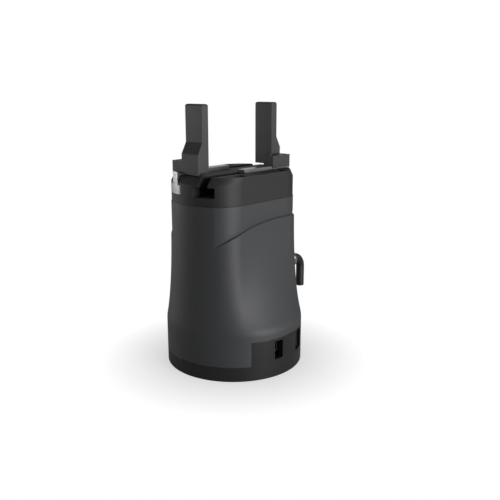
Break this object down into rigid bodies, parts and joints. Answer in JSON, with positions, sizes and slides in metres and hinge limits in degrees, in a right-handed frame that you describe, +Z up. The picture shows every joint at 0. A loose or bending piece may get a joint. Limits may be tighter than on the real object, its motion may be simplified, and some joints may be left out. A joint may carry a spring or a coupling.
{
  "type": "electric gripper",
  "caption": "Electric parallel gripper: rounded body on a round foot, T-slot head, two opposed sliding fingers driven by a rack and pinion, angled plug at one end.",
  "frame": {"origin": "centre of the mounting face under the round foot", "axes": "+Z up through the body to the fingers, X along the fingers' travel with the plug on +X, -Y towards the port cover"},
  "size_m": [0.1, 0.075, 0.1401],
  "materials": {
    "housing_paint": "satin grey paint",
    "black_anodised": "satin black",
    "head_anodised": "dark grey anodised",
    "finger_anodised": "dark grey anodised",
    "slide_steel": "ground",
    "gear_steel": "ground",
    "bearing_steel": "polished",
    "bronze": "sintered",
    "screw_steel": "black oxide",
    "plain_aluminium": "machined",
    "magnet": "nickel plated",
    "lamination_steel": "stacked laminations",
    "copper": "enamelled copper wire",
    "circuit_board": "solder mask",
    "black_plastic": "moulded",
    "socket_metal": "plated",
    "connector_nickel": "nickel plated",
    "contact_gold": "gold plated",
    "seal_rubber": "matt",
    "plug_rubber": "moulded"
  },
  "bodies": {
    "frame": {"housing": "housing_paint", "mounting_base": "black_anodised", "head_block": "head_anodised", "gearbox_ring": "gear_steel", "pinion_bearing_outer_race": "bearing_steel", "pinion_bearing_balls": "bearing_steel", "output_bearing_outer_race": "bearing_steel", "output_bearing_balls": "bearing_steel", "upper_bush": "bronze", "motor_bushes": "bronze", "base_screws": "screw_steel", "head_screws": "screw_steel", "plate_screws": "screw_steel", "retainer_screws": "screw_steel", "bearing_retainer": "plain_aluminium", "drive_plate": "plain_aluminium", "motor_case": "plain_aluminium", "board_standoffs": "plain_aluminium", "encoder_spacers": "plain_aluminium", "stator_core": "lamination_steel", "stator_windings": "copper", "driver_board": "circuit_board", "encoder_board": "circuit_board", "board_components": "black_plastic", "service_socket": "black_plastic", "connector_insert": "black_plastic", "data_socket": "socket_metal", "connector_socket": "connector_nickel", "connector_locknut": "connector_nickel", "coupling_nut": "connector_nickel", "connector_contacts": "contact_gold", "connector_seal": "seal_rubber", "plug_body": "plug_rubber"},
    "near_carriage": {"near_slide": "slide_steel", "near_finger": "finger_anodised", "near_finger_screws": "screw_steel"},
    "far_carriage": {"far_slide": "slide_steel", "far_finger": "finger_anodised", "far_finger_screws": "screw_steel"},
    "pinion_shaft": {"pinion": "gear_steel", "pinion_bearing_inner_race": "bearing_steel", "shaft_coupling": "plain_aluminium", "coupling_screws": "screw_steel", "output_bearing_inner_race": "bearing_steel", "planet_carrier": "gear_steel"},
    "rotor": {"rotor_shaft": "gear_steel", "rotor_magnets": "magnet", "encoder_magnet": "magnet"},
    "planet_1": {"planet_gear_1": "gear_steel"},
    "planet_2": {"planet_gear_2": "gear_steel"},
    "planet_3": {"planet_gear_3": "gear_steel"}
  },
  "joints": [
    {"name": "near_finger_slide", "type": "slide", "parent": "frame", "child": "near_carriage", "axis": [-1, 0, 0], "range_m": [0, 0.024]},
    {"name": "far_finger_slide", "type": "slide", "parent": "frame", "child": "far_carriage", "axis": [1, 0, 0], "range_m": [0, 0.024]},
    {"name": "pinion_spin", "type": "hinge", "parent": "frame", "child": "pinion_shaft", "pos_m": [0, 0, 0.0976], "axis": [0, 0, -1], "range_deg": [-3, 290]},
    {"name": "rotor_spin", "type": "hinge", "parent": "frame", "child": "rotor", "pos_m": [0, 0, 0.0365], "axis": [0, 0, -1], "range_deg": [-12, 1160]},
    {"name": "planet_1_spin", "type": "hinge", "parent": "pinion_shaft", "child": "planet_1", "pos_m": [0.009, 0, 0.055], "axis": [0, 0, -1], "range_deg": [-870, 9]},
    {"name": "planet_2_spin", "type": "hinge", "parent": "pinion_shaft", "child": "planet_2", "pos_m": [-0.0045, 0.00779, 0.055], "axis": [0, 0, -1], "range_deg": [-870, 9]},
    {"name": "planet_3_spin", "type": "hinge", "parent": "pinion_shaft", "child": "planet_3", "pos_m": [-0.0045, -0.00779, 0.055], "axis": [0, 0, -1], "range_deg": [-870, 9]}
  ],
  "couplings": [
    {"joint": "far_finger_slide", "follows": "near_finger_slide", "ratio": 1},
    {"joint": "pinion_spin", "follows": "near_finger_slide", "rad_per_m": 208.33},
    {"joint": "rotor_spin", "follows": "near_finger_slide", "rad_per_m": 833.33},
    {"joint": "planet_1_spin", "follows": "near_finger_slide", "rad_per_m": -625},
    {"joint": "planet_2_spin", "follows": "near_finger_slide", "rad_per_m": -625},
    {"joint": "planet_3_spin", "follows": "near_finger_slide", "rad_per_m": -625}
  ]
}
